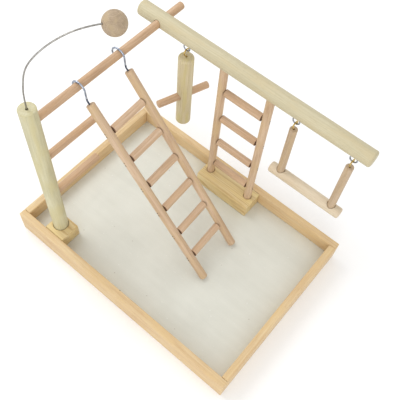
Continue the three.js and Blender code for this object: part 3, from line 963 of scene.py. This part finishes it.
def hook_hole(side):
    """The hole in a leaning rail's top for its hook."""
    place, neck = hook_frame(side)
    surface = -HOOK_LOOP - neck
    start = place @ Vector((0, 0, surface - HOOK_SCREW - HOLE_SPARE))
    end = place @ Vector((0, 0, surface))
    return cutter(start, end, HOOK_WIRE / 2 + WIRE_SLACK, HOOK_RIM, HOLE_SIDES)


NAIL_HEAD = 0.95 * MM  # its radius
NAIL_LENGTH = 1.6 * MM
NAIL_BEVEL = 0.1 * MM
NAIL_CROWN = 0.03 * MM
NAIL_PROUD = 0.15 * MM
NAIL_ROOM = 0.15 * MM
NAIL_HOLE = 2.2 * MM
NAIL_SPREAD = 2.2 * MM  # of the two nails from the middle of their rung


def nail_places(ladder, side):
    """Where the nails go into one rail: the surface and the way out of the wood."""
    low, high, radius = stick_of(f"{ladder}_rail_{side}")
    up = (high - low).normalized()
    places = []
    for count in range(LADDER_RUNGS[ladder]):
        start, end, _ = stick_of(f"{ladder}_rung_{count + 1}")
        middle = (start + end) / 2
        axis = low + up * (middle - low).dot(up)
        out = (axis - middle).normalized()
        for shift in (-NAIL_SPREAD, NAIL_SPREAD):
            places.append((axis + out * radius + up * shift, out))
    return places


def nail_holes(ladder, side):
    return [
        cutter(spot - out * NAIL_HOLE, spot + out * MM, NAIL_HEAD + NAIL_ROOM, 0.0, TINY_SIDES)
        for spot, out in nail_places(ladder, side)
    ]


def make_nails(ladder):
    """All the nails of one ladder, as one piece."""
    outline = [
        (0, -NAIL_LENGTH), (NAIL_HEAD, -NAIL_LENGTH), (NAIL_HEAD, -NAIL_BEVEL),
        (NAIL_HEAD * 0.7, 0), (0, NAIL_CROWN),
    ]
    shape = bmesh.new()
    for side in ("left", "right"):
        for spot, out in nail_places(ladder, side):
            head = spot + out * NAIL_PROUD
            lathe(outline, TINY_SIDES, shape, standing(head, head + out))
    made = added(f"{ladder}_nails", shape, Matrix())
    finish(made, f"{ladder}_rail_left", NAIL, 2.0, slot="screw_steel")


# ---------------------------------------------------------------- post, perches and ladders

POST_STICKS = ("top_perch_dowel", "middle_perch_dowel", "lower_perch_dowel")
POST_EASE = 1.4 * MM
PERCH_EASE = 3.2 * MM
DOWEL_EASE = 1.6 * MM
CLEAR = 20 * MM  # once or twice this takes a cutter well out of the wood
SPRING_WIRE = 2.0 * MM
SPRING_SEAT = 3.0 * MM
SEAT_SLACK = 0.3 * MM
SEAT_FLARE = 0.75 * MM


def spring_seat():
    """The seat of the springy wire, which opens upwards and leaves the wire room to rock."""
    foot = SPRING_WIRE / 2 + SEAT_SLACK
    mouth = foot + SEAT_FLARE
    outline = [
        (0, -SPRING_SEAT - SEAT_SLACK), (foot, -SPRING_SEAT - SEAT_SLACK), (mouth, 0),
        (mouth, SPRING_SEAT), (0, SPRING_SEAT),
    ]
    return added("cutter", lathe(outline, HOLE_SIDES), Matrix.Translation(stick_of("post")[1]))


def make_post():
    holes = []
    for name in POST_STICKS:
        start = stick_of(name)[0]
        holes.append(socket_for(name, start, start + Vector((0, 2 * CLEAR, 0)), 0.0))
    holes += [spring_seat(), *screw_holes(SCREWS[:1])]
    make_stick("post", POST_LOOK, POST_EASE, 1.0, holes, THICK_SIDES, 0.0)
    for count, name in enumerate(POST_STICKS):
        make_stick(name, TAN, DOWEL_EASE, 3.1 + count)


def make_main_perch():
    holes = [straight_through("top_perch_dowel", 0.0, CLEAR)]
    for side in ("left", "right"):
        name = "standing_ladder_rail_" + side
        high = stick_of(name)[1]
        holes.append(socket_for(name, high, high - Vector((0, 0, 2 * CLEAR)), 0.0))
    holes += [eye_hole(name) for name in EYES_ON_PERCH]
    make_stick("main_perch", PALE, PERCH_EASE, 2.0, holes, THICK_SIDES, 0.0)
    for name in EYES_ON_PERCH:
        make_eye(name)


RAIL_END = 1.2 * MM
LEANING_FOOT = 2.3 * MM  # round enough to clear the tray's floor, which it meets at a slant
RUNG_EASE = 0.4 * MM
# how dark the rungs' end faces are painted, as shade in their butt joints
RUNG_END_PAINTED_SHADE = 0.8
RAIL_TONES = 0.06  # how far the rails' shades differ
STANDING_SHADE = 0.5  # how much darker the standing ladder's rungs are


def make_ladder(ladder, hooked):
    for count, side in enumerate(("left", "right")):
        holes = nail_holes(ladder, side)
        if hooked:
            holes.append(hook_hole(side))
            make_hook(side)
        seed = 8.2 + 3 * count + 5 * hooked
        make_stick(f"{ladder}_rail_{side}", RAIL_LOOK, RAIL_END, seed, holes,
                   shade=tone_shift(seed, RAIL_TONES), foot=LEANING_FOOT if hooked else None)
    for count in range(LADDER_RUNGS[ladder]):
        seed = 21.7 + count + 5 * hooked
        shade = tone_shift(seed) + (0.0 if hooked else STANDING_SHADE)
        make_stick(f"{ladder}_rung_{count + 1}", RUNG_LOOK, RUNG_EASE, seed,
                   shade=shade, soil=RUNG_END_PAINTED_SHADE)
    make_nails(ladder)


# ---------------------------------------------------------------- swing and toy


ARM_EASE = 1.0 * MM
BAR_EASE = 2.6 * MM
TOY_EASE = 3.2 * MM


def make_swing():
    _, bar_end, bar_radius = stick_of("swing_bar")
    holes = []
    for count, side in enumerate(("left", "right")):
        name = "swing_arm_" + side
        low = stick_of(name)[0]
        holes.append(socket_for(name, low, (low.x, low.y, bar_end.z + bar_radius)))
        eye = "swing_arm_eye_" + side
        make_stick(name, ARM_LOOK, ARM_EASE, 40.3 + 5 * count, [eye_hole(eye)])
        make_eye(eye)
    make_stick("swing_bar", BAR_LOOK, BAR_EASE, 44.0, holes, BAR_SIDES, 0.0)


def make_toy():
    holes = [straight_through("toy_cross_dowel", CLEAR, CLEAR), eye_hole("toy_body_eye")]
    make_stick("toy_body", TOY_LOOK, TOY_EASE, 50.0, holes, THICK_SIDES, 0.0)
    make_stick("toy_cross_dowel", TAN, DOWEL_EASE, 51.0)
    make_eye("toy_body_eye")


# ---------------------------------------------------------------- ball on its springy wire

SPRING_HEADING = math.radians(62)
# Out and up from the middle of the post's top, in millimetres: the wire's way, then the ball.
SPRING_BENDS = [(0, -3), (0, 0), (2.4, 34), (11.7, 64.3), (33, 84.5), (63, 97), (94, 98.4)]
BALL_OUT = 109.5
BALL_UP = 95
SPRING_GAP = 0.8 * MM  # between the wire's rings
BALL_HOLE = 9 * MM
BALL_HOLE_SLACK = 0.4 * MM
BALL_HOLE_RIM = 0.9 * MM
BALL_FLAT = 4 * MM  # radius of the flat round the hole
BALL_STEPS = 28
BALL_GRAIN = (0.45, -0.6, 0.66)  # the way the ball's grain runs


def make_spring_ball():
    top = stick_of("post")[1]
    out = Vector((math.cos(SPRING_HEADING), math.sin(SPRING_HEADING), 0))
    points = [top + out * away * MM + Vector((0, 0, up * MM)) for away, up in SPRING_BENDS]
    centre = top + out * BALL_OUT * MM + Vector((0, 0, BALL_UP * MM))
    inward = (centre - points[-1]).normalized()
    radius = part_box("wooden_ball")[1][2] - centre.z
    points.append(centre + inward * (BALL_HOLE - radius))
    spots = through(points, [SPRING_GAP] * (len(points) - 1))
    in_place_of("spring_wire", "metal", wire(spots, SPRING_WIRE / 2), Matrix(), SPRING, seed=1.0)

    # Turned round its drilled hole, with a small flat there, and grain across it.
    flat = math.asin(BALL_FLAT / radius)
    bottom = -radius * math.cos(flat)
    outline = [(0, bottom), (BALL_FLAT * 0.6, bottom)]
    for i in range(BALL_STEPS):
        angle = flat + (math.pi - flat) * i / BALL_STEPS
        outline.append((radius * math.sin(angle), -radius * math.cos(angle)))
    outline.append((0, radius))
    drilled = standing(centre, centre + inward)
    place = standing(centre, centre + Vector(BALL_GRAIN))
    shape = lathe(outline, BAR_SIDES, place=place.inverted() @ drilled)
    mouth = drilled @ Vector((0, 0, bottom))
    hole = cutter(mouth + inward * BALL_HOLE, mouth, SPRING_WIRE / 2 + BALL_HOLE_SLACK,
                  BALL_HOLE_RIM, HOLE_SIDES)
    in_place_of("wooden_ball", "wood", shape, place, BALL_LOOK, [hole], seed=0.7)


# ---------------------------------------------------------------- the stand

make_camera()
make_world(WORLD_LIGHT)
make_lamp("key", **KEY_LAMP)
make_lamp("fill", **FILL_LAMP)
make_floor()

make_tray()
make_blocks()
make_post()
make_main_perch()
make_ladder("standing_ladder", hooked=False)
make_ladder("leaning_ladder", hooked=True)
make_swing()
make_toy()
make_spring_ball()
